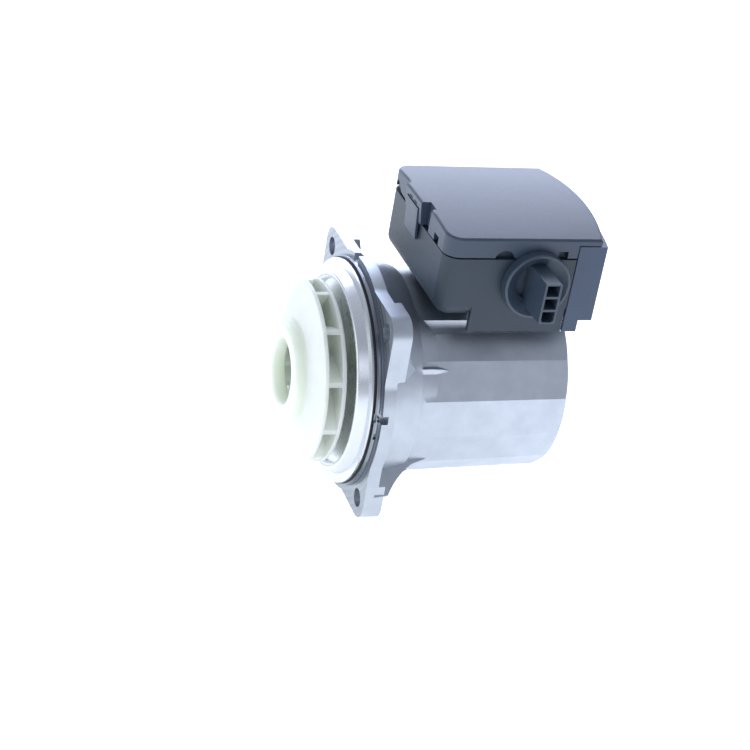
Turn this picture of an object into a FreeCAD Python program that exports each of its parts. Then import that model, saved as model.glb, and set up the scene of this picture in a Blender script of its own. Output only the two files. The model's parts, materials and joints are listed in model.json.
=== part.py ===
import FreeCAD, Part
import math
import os

# Replacement head of a wet-rotor circulator pump: motor, impeller and control box.
# The shaft lies along X, the impeller looks towards -X and the control box stands up, +Z.
# The origin is the centre of the flange face that meets the pump casing. Millimetres.

V = FreeCAD.Vector
ORIGIN = V(0, 0, 0)
ALONG_X = V(1, 0, 0)
ALONG_Y = V(0, 1, 0)
ALONG_Z = V(0, 0, 1)

# Square flange with four lugs at its corners, on a round web
BOLT_RADIUS = 47.0            # lug holes lie on a 94 mm circle
LUG_ANGLES = (45, 135, 225, 315)
LOWER_LUGS = (135, 225)
LUG_HOLE_R = 3.4              # clearance for M6
LUG_TIP_R = 7.0
LUG_THICK = 7.0
LUG_PAD_HALF = 11.1           # half width of the thick part of a lug
CORNER_HALF = 16.8            # half width of a corner where it runs into the web
WEB_R = 43.6
WEB_THICK = 4.5
SPIGOT_R = 41.6
SPIGOT_FRONT = -2.1
SEAT_CLEAR = 6.4              # the lower lugs' fins stand this far either side of the screw
FIN_THICK = 2.4
RIB_OUT = 33.5                # side rib under each upper lug
RIB_TOP = 19.0
RIB_LOW = 17.0
RIB_END = 27.0

# Motor housing, a sixteen-sided casting with a flat for the control box
SIDES = 16
HOUSING_R_FRONT = 37.2        # over the corners, at the flange
HOUSING_R_REAR = 35.8         # over the corners, at the rear rim
HOUSING_END = 72.6
CORNER_ROUND = 0.8
REAR_ROUND = 2.0
BORE_R = 32.3
BORE_END = 66.3
LEDGE_Z = 27.4
PEDESTAL_HALF = 21.2
PEDESTAL_START = 34.5
PEDESTAL_END = 70.5
PEDESTAL_TOP = 36.7
SADDLE_HALF = 19.8
SADDLE_R = 36.6

# Bearing plate and rotor can
SHEET = 0.8
PLATE_RIM_R = 40.6
PLATE_RIM_FRONT = -3.6
PLATE_RIM_REAR = PLATE_RIM_FRONT + SHEET
PLATE_FLOOR = -5.0
CAN_SHEET = 0.4
CAN_R = 16.0
CAN_STEP = 58.0
CAN_END = 65.5
BEARING_R = 9.0
SHAFT_R = 4.0
SHAFT_GAP = 0.05              # running clearance of the shaft in its bearings
SHAFT_FRONT = -16.8
SHAFT_REAR = 64.0

# Impeller
IMPELLER_FRONT = -24.0
IMPELLER_R = 33.3
NECK_R = 17.5
EYE_R = 11.8
VANES = 11
VANE_THICK = 1.8
VANE_TIP_ANGLE = 4.0          # first vane tip, turned from the top towards -Y
LOCK_FRONT_R = 5.5
LOCK_REAR_R = 6.4

# Stator
STACK_FRONT = 17.0
STACK_REAR = 47.0
STATOR_R = 32.2
TEETH = 9
TOOTH_HALF = 2.5
COIL_HALF = 5.6
PIN_X = 52.0
PIN_PITCH = 4.0

# Control box
BOX_FRONT = 18.0
BOX_REAR = 66.2
BOX_HALF = 30.4
BOX_CORNER_R = 5.5
BOX_WALL = 1.8
FLOOR_Z = 37.5
FLOOR_THICK = 1.8
BASE_TOP = 59.9
LID_BOTTOM = 60.5
LIP_TOP = 62.4
SKIRT_FRONT = 30.6
SKIRT_REAR = 65.7
SKIRT_Z = 32.2
LID_EDGE_Z = 67.5             # height of the lid at its long edges
LID_CROWN = 1.7               # how much higher it is over the shaft
LID_REAR_SIDE = 74.7          # where the bowed rear edge starts, at the long edges
LID_REAR_MID = 79.0
LID_THICK = 2.0
HOOK_FRONT = 72.6             # two hooks hang from the lid and reach under the rear cover's ledges
HOOK_BOTTOM = 55.4
HOOK_WIDTH = 6.0
LEDGE_WIDTH = 8.0
HOOK_PLACES = (-16.0, 10.0)

# Rear cover
COVER_FRONT = 66.45
COVER_HALF = 30.6
COVER_WALL = 1.6
COVER_BOTTOM = 36.4
COVER_TOP = 65.0
COVER_REAR_SIDE = 76.9
COVER_REAR_MID = 80.6
FOOT_BOTTOM = 32.0
FOOT_REAR = 71.7

# Mains socket on the near wall
SOCKET_X = 51.7
SOCKET_Z = 51.5
SOCKET_R = 12.0
COLLAR_BACK = -30.7           # just clear of the lid's side
COLLAR_FACE = -34.6
SOCKET_PLUG_R = 7.8
BOWL_RIM_R = 11.1
BOWL_FLOOR_R = 6.8
BOWL_SLOPE_END = -31.2
BOWL_FLOOR = -29.4
SOCKET_FACE = -46.4
CORE_Z = 51.15                # the core sits a little below the collar's centre
CORE_HALF_X = 3.1
CORE_HALF_Z = 7.6
CAVITY_PITCH = 4.9
CAVITY_HALF_X = 2.3
CAVITY_HALF_Z = 2.0
CAVITY_FLOOR = -36.0
BLADE_TIP = -41.0

# Circuit board
BOARD_Z = 43.0
BOARD_THICK = 1.6
BOARD_TOP = BOARD_Z + BOARD_THICK
BOARD_FRONT = 21.5
BOARD_REAR = 63.0
BOARD_HALF = 26.5
BOARD_SCREWS = ((25.0, 23.0), (25.0, -23.0), (60.0, 23.0))
BOX_SCREWS = ((37.0, 15.0), (37.0, -15.0), (57.5, 15.0), (57.5, -15.0))
CHOKE_X = 32.0
CHOKE_Y = 12.0
CHOKE_HEIGHT = 7.0
CHOKE_TURNS = 10
BULK_X = 30.0
BULK_Y = -14.0
BULK_HEIGHT = 17.0
FUSE_X = 41.5
FUSE_Y = 20.0
FUSE_CAP_R = 2.8
MODULE_PLAN = (41, 49, -7, 7)
MODULE_BOTTOM = 38.6

# Way for the winding pins and the power module through the box floor
WINDOW_FRONT = 40.0
WINDOW_HALF = 9.0
WINDOW_REAR = PIN_X + 4
SEAL_BORDER = 1.8

# Snap tongue in the lid's front, and the thickened block that carries it
TONGUE_FAR = 9.6
TONGUE_NEAR = -2.2
TONGUE_TOP = 65.4
TONGUE_BOTTOM = 53.4
TONGUE_THICK = 1.3
BLOCK_FAR = 11.8
BLOCK_NEAR = -4.9
BLOCK_TOP_X = 15.6
BLOCK_BOTTOM_X = 16.9

# Small openings in the lid's edges, each between two places along the edge
PRY_RECESS = (-10.6, BLOCK_NEAR)
FAR_NOTCH = ((14.9, 0.5), (20.0, 1.0), (22.0, 2.3), (23.6, 3.6), (27.8, 3.2))  # along, height
NEAR_NOTCH = (-20.8, -16.4)
CLIP_MOUTH_X = 39.2
CLIP_MOUTH_R = 3.75
REAR_CLIP_MOUTH = (58.9, 62.5)


# ---- shape helpers ----

def polar(radius, angle, x=0.0):
    """A point at this distance from the shaft, turned from the top towards -Y."""
    turn = math.radians(angle)
    return V(x, -radius * math.sin(turn), radius * math.cos(turn))


def wire(points):
    """A closed outline. ("arc", middle, end) is a rounded stretch, a plain point a straight one."""
    edges = []
    first = points[0]
    here = first
    for item in list(points[1:]) + [first]:
        if isinstance(item, tuple):
            edges.append(Part.Arc(here, item[1], item[2]).toShape())
            here = item[2]
        elif here.distanceToPoint(item) > 1e-6:
            edges.append(Part.LineSegment(here, item).toShape())
            here = item
    return Part.Wire(edges)


def extruded(points, direction):
    return Part.Face(wire(points)).extrude(direction)


def in_profile(points):
    """(x, r) pairs, and ("arc", (x, r), (x, r)) stretches, in the plane through the shaft."""
    placed = []
    for item in points:
        if item[0] == "arc":
            placed.append(("arc", V(item[1][0], 0, item[1][1]), V(item[2][0], 0, item[2][1])))
        else:
            placed.append(V(item[0], 0, item[1]))
    return placed


def turned(points):
    """A solid turned about the shaft from its half section."""
    return Part.Face(wire(in_profile(points))).revolve(ORIGIN, ALONG_X, 360)


def ring(r_out, r_in, x0, x1):
    outer = Part.makeCylinder(r_out, x1 - x0, V(x0, 0, 0), ALONG_X)
    if r_in <= 0:
        return outer
    return outer.cut(Part.makeCylinder(r_in, x1 - x0, V(x0, 0, 0), ALONG_X))


def block(x0, x1, y0, y1, z0, z1):
    return Part.makeBox(x1 - x0, y1 - y0, z1 - z0, V(x0, y0, z0))


def rod(radius, start, direction, length):
    return Part.makeCylinder(radius, length, start, direction)


def fused(shapes):
    return shapes[0].multiFuse(shapes[1:]).removeSplitter()


def less(shape, cutters):
    return shape.cut(Part.makeCompound(cutters))


def around(shape, angle):
    """A copy turned about the shaft, from the top towards -Y."""
    copy = shape.copy()
    copy.rotate(ORIGIN, ALONG_X, angle)
    return copy


def mirrored(shape):
    """The same shape on the other side of the shaft plane."""
    return shape.mirror(ORIGIN, ALONG_Y)


def filleted(shape, radius, wanted):
    edges = [edge for edge in shape.Edges if wanted(edge)]
    return shape.makeFillet(radius, edges)


def plan_outline(front, rear, half, corner, z):
    """A plan with two rounded front corners, as the control box has."""
    cut = corner * (1 - math.sqrt(0.5))
    return [
        V(rear, -half, z),
        V(rear, half, z),
        V(front + corner, half, z),
        ("arc", V(front + cut, half - cut, z), V(front, half - corner, z)),
        V(front, -half + corner, z),
        ("arc", V(front + cut, -half + cut, z), V(front + corner, -half, z)),
    ]


def bowed_outline(front, rear_side, rear_mid, half, corner, z):
    """The same plan with a rear edge that bows outwards, as the lid has."""
    points = plan_outline(front, rear_side, half, corner, z)
    points[1] = ("arc", V(rear_mid, 0, z), V(rear_side, half, z))
    return points


def save(name, shape):
    if not shape.isValid():
        print("not valid:", name)
    print(name, len(shape.Solids), "solid(s)", round(shape.Volume / 1000, 2), "cm3")
    shape.exportStep("parts/" + name + ".step")


# ---- motor housing ----

def sixteen_sided():
    """The drafted outer body, with its long corners rounded and a soft rear rim."""
    sections = []
    for radius, x in ((HOUSING_R_FRONT, WEB_THICK - 1), (HOUSING_R_REAR, HOUSING_END)):
        corners = [polar(radius, 360.0 / SIDES * (k + 0.5), x) for k in range(SIDES)]
        sections.append(wire(corners))
    body = Part.makeLoft(sections, True, True)

    def runs_along_shaft(edge):
        ends = edge.Vertexes
        return abs(ends[0].X - ends[1].X) > 10
    body = filleted(body, CORNER_ROUND, runs_along_shaft)
    rim = HOUSING_R_REAR + 0.2
    mid = REAR_ROUND * (1 - math.sqrt(0.5))
    envelope = turned([
        (-1, 0), (-1, 60), (30, 60), (HOUSING_END - REAR_ROUND, rim),
        ("arc", (HOUSING_END - mid, rim - mid), (HOUSING_END, rim - REAR_ROUND)),
        (HOUSING_END, 0),
    ])
    return body.common(envelope)


def flange_corner(half, thick):
    """One corner of the square flange at the top position, rounded about its screw hole."""
    reach = LUG_TIP_R * math.sqrt(0.5)
    side = BOLT_RADIUS + 2 * reach - half
    return extruded([
        V(0, -half, 36), V(0, -half, side), V(0, -reach, BOLT_RADIUS + reach),
        ("arc", V(0, 0, BOLT_RADIUS + LUG_TIP_R), V(0, reach, BOLT_RADIUS + reach)),
        V(0, half, side), V(0, half, 36),
    ], V(thick, 0, 0))


def lug():
    """A corner of the flange with its thicker pad round the screw hole."""
    return fused([flange_corner(CORNER_HALF, WEB_THICK), flange_corner(LUG_PAD_HALF, LUG_THICK)])


def lug_fins():
    """Two fins at the top position that brace a lug, one each side of the screw head."""
    fins = []
    for start in (SEAT_CLEAR, -SEAT_CLEAR - FIN_THICK):
        fins.append(extruded([
            V(WEB_THICK - 1, start, 33), V(WEB_THICK - 1, start, 49.0), V(8.5, start, 48.4),
            ("arc", V(13.2, start, 41.8), V(18.5, start, 37.4)), V(25.5, start, 35.0),
            V(25.5, start, 33),
        ], V(0, FIN_THICK, 0)))
    return fins


def side_rib():
    """The rib below the upper near lug: flat on top, fading into the body at its rear end."""
    seen_from_side = extruded([
        V(WEB_THICK - 1, -41, RIB_LOW), V(WEB_THICK - 1, -41, RIB_TOP), V(19.5, -41, RIB_TOP),
        ("arc", V(23.8, -41, RIB_TOP - 0.7), V(RIB_END, -41, RIB_LOW)),
    ], V(0, 13, 0))
    seen_from_top = extruded([
        V(WEB_THICK - 1, -28, RIB_LOW), V(WEB_THICK - 1, -RIB_OUT, RIB_LOW),
        V(21.0, -RIB_OUT, RIB_LOW), V(RIB_END, -RIB_OUT + 1.6, RIB_LOW), V(RIB_END, -28, RIB_LOW),
    ], V(0, 0, RIB_TOP - RIB_LOW))
    # The lug's pad runs down to the rib, and turns towards the rear as it does.
    sweep = extruded([
        V(WEB_THICK - 1, -41, RIB_LOW + 0.5), V(13.0, -41, RIB_TOP), V(10.8, -41, 21.8),
        ("arc", V(8.2, -41, 26.2), V(LUG_THICK, -41, 31.0)), V(WEB_THICK - 1, -41, 31.0),
    ], V(0, 13, 0))
    flank = (BOLT_RADIUS + LUG_TIP_R * math.sqrt(2)) * math.sqrt(0.5)
    sweep_plan = extruded([
        V(WEB_THICK - 1, -28, RIB_LOW), V(WEB_THICK - 1, -flank, RIB_LOW),
        V(LUG_THICK, -flank, RIB_LOW), V(13.2, -RIB_OUT, RIB_LOW), V(13.2, -28, RIB_LOW),
    ], V(0, 0, 15))
    return fused([seen_from_side.common(seen_from_top), sweep.common(sweep_plan)])


def stator_housing():
    web = ring(WEB_R, 0, 0, WEB_THICK)
    spigot = ring(SPIGOT_R, 0, SPIGOT_FRONT, 0)
    neck = turned([
        (WEB_THICK - 1, 0), (WEB_THICK - 1, 41.4), (15.8, 38.3),
        (16.4, 37.0), (22.0, 36.6), (22.0, 0),
    ])
    # The saddle under the box keeps the neck's round top and has upright sides.
    saddle = ring(SADDLE_R, 0, 12, PEDESTAL_START + 4)
    saddle = saddle.common(block(12, PEDESTAL_START + 4, -SADDLE_HALF, SADDLE_HALF, 20, 45))
    pedestal = block(PEDESTAL_START, PEDESTAL_END, -PEDESTAL_HALF, PEDESTAL_HALF, 20, PEDESTAL_TOP)

    def upright_front(edge):
        ends = edge.Vertexes
        return edge.BoundBox.ZLength > 5 and ends[0].X < PEDESTAL_START + 1
    pedestal = filleted(pedestal, 3.0, upright_front)

    # The flat is cut first, so that the saddle and the pedestal stand on it.
    flat_cut = extruded([
        V(15.2, -17.0, LEDGE_Z), V(21.4, -23.4, LEDGE_Z), V(21.4, -50, LEDGE_Z),
        V(90, -50, LEDGE_Z), V(90, 50, LEDGE_Z), V(21.4, 50, LEDGE_Z),
        V(21.4, 23.4, LEDGE_Z), V(15.2, 17.0, LEDGE_Z),
    ], V(0, 0, 40))
    body = fused([sixteen_sided(), neck]).cut(flat_cut)
    lugs = [around(lug(), angle) for angle in LUG_ANGLES]
    ribs = [side_rib(), mirrored(side_rib())]
    for angle in LOWER_LUGS:
        ribs += [around(fin, angle) for fin in lug_fins()]
    body = fused([body, web, spigot, saddle, pedestal] + lugs + ribs)

    bolt_holes = [
        rod(LUG_HOLE_R, polar(BOLT_RADIUS, angle, -1), ALONG_X, LUG_THICK + 2)
        for angle in LUG_ANGLES
    ]
    bore = ring(BORE_R, 0, SPIGOT_FRONT - 1, BORE_END)
    clip_groove = ring(SPIGOT_R + 1, SPIGOT_R - 1.0, -1.55, -0.45)
    plug_hole = ring(5.0, 0, BORE_END - 1, HOUSING_END + 1)
    plug_seat = ring(9.5, 0, HOUSING_END - 2, HOUSING_END + 1)
    rear_recess = ring(27.0, 13.0, HOUSING_END - 0.8, HOUSING_END + 1)
    drains = [
        around(block(-3, 2.2, -1.5, 1.5, 40.4, 46), 84),
        around(block(-3, 2.2, -2.2, 2.2, 41.4, 46), -9),
        around(block(-3, 2.2, -1.5, 1.5, 40.4, 46), 276),
        around(block(-3, 2.2, -2.2, 2.2, 41.4, 46), 180),
    ]
    wire_slot = block(PIN_X - 2.5, PIN_X + 2.5, -7.5, 7.5, 25, PEDESTAL_TOP + 1)
    screw_holes = [rod(1.6, V(x, y, 28), ALONG_Z, 12) for x, y in BOX_SCREWS]
    return less(body, bolt_holes + drains + screw_holes + [
        bore, clip_groove, plug_hole, plug_seat, rear_recess, wire_slot,
    ])


def plate_retaining_ring():
    """A sprung ring, sunk in the spigot's groove and split just below the near side."""
    hoop = ring(SPIGOT_R - 0.05, SPIGOT_R - 1.0, -1.5, -0.5)
    gap = around(block(-3, 1, -1.2, 1.2, 38, 45), 94)
    return hoop.cut(gap)


def vent_plug():
    """Turned screw that vents the rotor chamber, with a driver slot."""
    head = ring(8.0, 0, HOUSING_END - 1.4, HOUSING_END + 1.2)
    shank = ring(5.0, 0, CAN_END + 0.3, HOUSING_END - 1.4)
    slot = block(HOUSING_END, HOUSING_END + 3, -10, 10, -0.8, 0.8)
    head = filleted(head, 0.6, lambda edge: edge.BoundBox.XMin > HOUSING_END + 1)
    return fused([head, shank]).cut(slot)


# ---- rotor chamber ----

def bearing_plate():
    """Pressed sheet that closes the rotor chamber and holds the front bearing."""
    inner_floor = PLATE_FLOOR + SHEET
    boss_r = BEARING_R + SHEET
    boss_end = 6.2
    body = turned([
        (PLATE_RIM_FRONT, PLATE_RIM_R), (PLATE_RIM_FRONT, 37.4), (-6.6, 36.3),
        ("arc", (-7.5, 35.2), (-6.6, 34.1)), (PLATE_FLOOR, 33.5), (PLATE_FLOOR, 6.0),
        (inner_floor, 6.0), (inner_floor, BEARING_R), (boss_end, BEARING_R),
        (boss_end, boss_r), (inner_floor, boss_r), (inner_floor, 34.2),
        ("arc", (-6.6, 35.2), (-5.9, 35.7)), (PLATE_RIM_REAR, 36.7), (PLATE_RIM_REAR, PLATE_RIM_R),
    ])
    vents = [around(rod(1.2, V(-8, 0, 13.5), ALONG_X, 6), turn) for turn in (0, 120, 240)]
    return less(body, vents)


def rotor_can():
    """Deep-drawn can that keeps the water inside, away from the windings."""
    outer = CAN_R + CAN_SHEET
    cup = BEARING_R + CAN_SHEET
    flange_front = SPIGOT_FRONT - 0.5
    return turned([
        (flange_front, CAN_R), (flange_front, 34.5), (SPIGOT_FRONT, 34.5),
        (SPIGOT_FRONT, outer), (CAN_STEP + CAN_SHEET, outer), (CAN_STEP + CAN_SHEET, cup),
        (CAN_END, cup), (CAN_END, 3.5), (CAN_END - CAN_SHEET, 3.5),
        (CAN_END - CAN_SHEET, BEARING_R), (CAN_STEP, BEARING_R), (CAN_STEP, CAN_R),
    ])


def magnet_rotor():
    return ring(15.0, SHAFT_R, 14.0, 52.0)


def rotor_sleeve():
    """Thin stainless sheath round the magnets, closed by two end discs."""
    sheath = ring(15.4, 15.0, 14.0, 52.0)
    return fused([sheath, ring(15.4, SHAFT_R, 13.4, 14.0), ring(15.4, SHAFT_R, 52.0, 52.6)])


# ---- impeller ----

def vane(tip_angle):
    """A backward-curved vane, as a strip between two arcs."""
    sides = []
    for offset in (VANE_THICK / 2, -VANE_THICK / 2):
        side = []
        for radius, lead in ((12.8, -47.0), (21.5, -19.0), (32.4, 0.0)):
            side.append(polar(radius, tip_angle + lead + math.degrees(offset / radius), -19.5))
        sides.append(side)
    left, right = sides
    return extruded([
        left[0], ("arc", left[1], left[2]), right[2], ("arc", right[1], right[0]),
    ], V(9.1, 0, 0))


def impeller():
    """Closed impeller: rear shroud and hub, vanes, front shroud with its inlet neck."""
    rear_shroud = turned([
        (-6.8, SHAFT_R), (-6.8, 8.0), (-9.9, 10.5), (-9.9, 32.5), (-10.2, 32.8),
        (-11.4, 32.8), (-11.4, 15.0), ("arc", (-13.2, 10.8), (-17.0, 8.4)),
        (-17.0, LOCK_FRONT_R), (-12.0, LOCK_REAR_R), (-12.0, SHAFT_R),
    ])
    front_shroud = turned([
        (-16.5, 31.6), (-16.5, IMPELLER_R), (-17.7, IMPELLER_R), (-18.0, 33.0),
        (-19.8, 19.4), ("arc", (-20.0, 18.2), (-20.9, NECK_R)), (-22.4, NECK_R),
        ("arc", (-23.5, 17.0), (IMPELLER_FRONT, 15.7)), (IMPELLER_FRONT, 13.2),
        ("arc", (-23.6, 12.2), (-22.6, EYE_R)), (-19.4, EYE_R),
        ("arc", (-18.7, 12.2), (-18.4, 13.4)),
    ])
    channel = turned([
        (-10.6, 11.5), (-10.6, 32.4), (-17.2, 32.4), (-19.0, 17.5), (-19.0, 12.8),
        (-14.0, 10.0),
    ])
    pitch = 360.0 / VANES
    vanes = fused([vane(VANE_TIP_ANGLE + pitch * k) for k in range(VANES)])
    return fused([rear_shroud, front_shroud, vanes.common(channel)])


def impeller_lock_cone():
    """Split cone that wedges the impeller on to the smooth shaft."""
    slope = (LOCK_REAR_R - LOCK_FRONT_R) / 5.0
    cone = turned([
        (-12.0, SHAFT_R), (-12.0, LOCK_REAR_R),
        (SHAFT_FRONT, LOCK_FRONT_R + slope * (SHAFT_FRONT + 17.0)), (SHAFT_FRONT, SHAFT_R),
    ])
    return cone.cut(block(-18, -11, -0.5, 0.5, 0, 10))


# ---- stator ----

def tooth_box(half, x0, x1, r0, r1):
    return block(x0, x1, -half, half, r0, r1)


def stator_core():
    """Laminated stack: a yoke with teeth whose tips close round the can."""
    yoke = ring(STATOR_R, 27.0, STACK_FRONT, STACK_REAR)
    teeth = []
    tips = ring(18.0, CAN_R + 0.6, STACK_FRONT, STACK_REAR)
    pitch = 360.0 / TEETH
    for k in range(TEETH):
        tooth = tooth_box(TOOTH_HALF, STACK_FRONT, STACK_REAR, 17.2, 28.0)
        teeth.append(around(tooth, pitch * k))
        slot = block(STACK_FRONT - 1, STACK_REAR + 1, -1.4, 1.4, 15, 19)
        tips = tips.cut(around(slot, pitch * (k + 0.5)))
    return fused([yoke, tips] + teeth)


def stator_coils():
    """One wound coil on each tooth."""
    coils = []
    for k in range(TEETH):
        outer = tooth_box(COIL_HALF, 12.5, 51.5, 19.0, 26.2)
        outer = filleted(outer, 2.0, lambda edge: edge.BoundBox.ZLength > 5)
        window = tooth_box(TOOTH_HALF + 0.5, 15.4, 48.6, 18.0, 27.0)
        coils.append(around(outer.cut(window), 360.0 / TEETH * k))
    return Part.makeCompound(coils)


def winding_frame(x_stack, x_end):
    """Moulded end frame that insulates the teeth from the coils."""
    outward = math.copysign(1, x_end - x_stack)
    yoke_ring = ring(31.8, 26.8, *sorted((x_stack, x_end)))
    tip_ring = ring(18.6, 17.0, *sorted((x_stack, x_end - 2 * outward)))
    cap_low, cap_high = sorted((x_stack, x_stack + 1.5 * outward))
    caps = []
    for k in range(TEETH):
        cap = tooth_box(TOOTH_HALF + 0.3, cap_low, cap_high, 18.0, 27.5)
        caps.append(around(cap, 360.0 / TEETH * k))
    return fused([yoke_ring, tip_ring] + caps)


def winding_pins():
    """Three pins from the windings up to the circuit board."""
    pins = []
    for k in (-1, 0, 1):
        y = k * PIN_PITCH
        pins.append(block(PIN_X - 0.5, PIN_X + 0.5, y - 0.5, y + 0.5, 31.9, BOARD_TOP + 2.0))
    return Part.makeCompound(pins)


# ---- control box ----

def control_box_base():
    """Moulded tray with a floor, a sealing lip and skirts beside the pedestal."""
    def shell(inset, z0, z1, rear):
        outline = plan_outline(BOX_FRONT + inset, rear, BOX_HALF - inset, BOX_CORNER_R - inset, z0)
        return extruded(outline, V(0, 0, z1 - z0))

    outer = shell(0, FLOOR_Z, BASE_TOP, BOX_REAR)

    def bottom_edge(edge):
        low = edge.BoundBox.ZMax < FLOOR_Z + 0.1
        return low and edge.BoundBox.XMin < BOX_REAR - 1
    outer = filleted(outer, 5.0, bottom_edge)
    inside_floor = FLOOR_Z + FLOOR_THICK
    hollow = shell(BOX_WALL, inside_floor, BASE_TOP + 5, BOX_REAR - BOX_WALL)
    hollow = filleted(hollow, 3.2, lambda edge: edge.BoundBox.ZMax < inside_floor + 0.1)
    lip_in = BOX_WALL + 0.3
    lip = shell(lip_in, BASE_TOP - 4, LIP_TOP, BOX_REAR)
    lip = lip.cut(shell(lip_in + 1.0, BASE_TOP - 5, LIP_TOP + 1, BOX_REAR + 5))
    bridge = shell(BOX_WALL - 0.1, BASE_TOP - 4, BASE_TOP, BOX_REAR)
    bridge = bridge.cut(shell(lip_in + 1.0, BASE_TOP - 5, BASE_TOP + 1, BOX_REAR + 5))
    skirts = []
    for side in (-1, 1):
        inner, outer_face = sorted((side * (BOX_HALF - BOX_WALL), side * BOX_HALF))
        skirts.append(block(SKIRT_FRONT, SKIRT_REAR, inner, outer_face, SKIRT_Z, FLOOR_Z + 5.5))
    rear_shelf = extruded(bowed_outline(
        BOX_REAR - 1, COVER_REAR_SIDE - 2.4, COVER_REAR_MID - 2.1, COVER_HALF - 1.8, 0.5, FLOOR_Z,
    ), V(0, 0, FLOOR_THICK))
    posts = []
    for x, y in BOARD_SCREWS:
        posts.append(rod(3.0, V(x, y, FLOOR_Z + 0.5), ALONG_Z, BOARD_Z - FLOOR_Z - 0.5))
    # The tongue's catch: a low nib whose underside is ramped, so that a pull frees it.
    mid = (TONGUE_FAR + TONGUE_NEAR) / 2
    catch = extruded([
        V(BOX_FRONT + 0.5, mid - 3, 58.0), V(BOX_FRONT - 0.15, mid - 3, 57.6),
        V(BOX_FRONT - 0.45, mid - 3, 57.0), V(BOX_FRONT + 0.5, mid - 3, 52.4),
    ], V(0, 6, 0))
    tray = fused([outer, rear_shelf] + skirts).cut(hollow)
    tray = fused([tray, lip, bridge, catch] + posts)
    rear_gap = block(BOX_REAR - BOX_WALL - 0.1, BOX_REAR + 0.1, -18, 18, BOARD_Z + 4, LIP_TOP + 1)
    socket_hole = rod(SOCKET_PLUG_R, V(SOCKET_X, -BOX_HALF - 1, SOCKET_Z), ALONG_Y, 6)
    window = block(WINDOW_FRONT, WINDOW_REAR, -WINDOW_HALF, WINDOW_HALF, FLOOR_Z - 1, inside_floor + 1)
    screw_holes = [rod(1.9, V(x, y, FLOOR_Z - 1), ALONG_Z, 4) for x, y in BOX_SCREWS]
    post_holes = [rod(1.2, V(x, y, FLOOR_Z + 2.5), ALONG_Z, 6) for x, y in BOARD_SCREWS]
    return less(tray, [socket_hole, window, rear_gap] + screw_holes + post_holes)


def box_seal():
    """Flat rubber frame between the pedestal and the box floor."""
    def plate(border, z0, z1):
        half = WINDOW_HALF + 0.3 + border
        return block(WINDOW_FRONT - border, WINDOW_REAR + 0.2 + border, -half, half, z0, z1)
    return plate(SEAL_BORDER, PEDESTAL_TOP, FLOOR_Z).cut(plate(0, PEDESTAL_TOP - 1, FLOOR_Z + 1))


def screws(places, seat_z, reach, shank_r, head_r, head_h):
    """Pan-head screws that stand on seat_z and reach down by the given length."""
    made = []
    for x, y in places:
        head = rod(head_r, V(x, y, seat_z), ALONG_Z, head_h)
        head = filleted(head, 0.4 * head_h, lambda edge: edge.BoundBox.ZMin > seat_z + 0.9 * head_h)
        shank = rod(shank_r, V(x, y, seat_z - reach), ALONG_Z, reach)
        slot_a = block(x - 1.3, x + 1.3, y - 0.3, y + 0.3, seat_z + 0.4 * head_h, seat_z + 9)
        slot_b = block(x - 0.3, x + 0.3, y - 1.3, y + 1.3, seat_z + 0.4 * head_h, seat_z + 9)
        made.append(less(fused([head, shank]), [slot_a, slot_b]))
    return Part.makeCompound(made)


def under_crown(shape, drop):
    """The part of a shape that lies under the lid's crown, lowered by drop."""
    radius = (BOX_HALF ** 2 + LID_CROWN ** 2) / (2 * LID_CROWN)
    top = LID_EDGE_Z + LID_CROWN - drop
    return shape.common(Part.makeCylinder(radius, 120, V(-10, 0, top - radius), ALONG_X))


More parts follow.
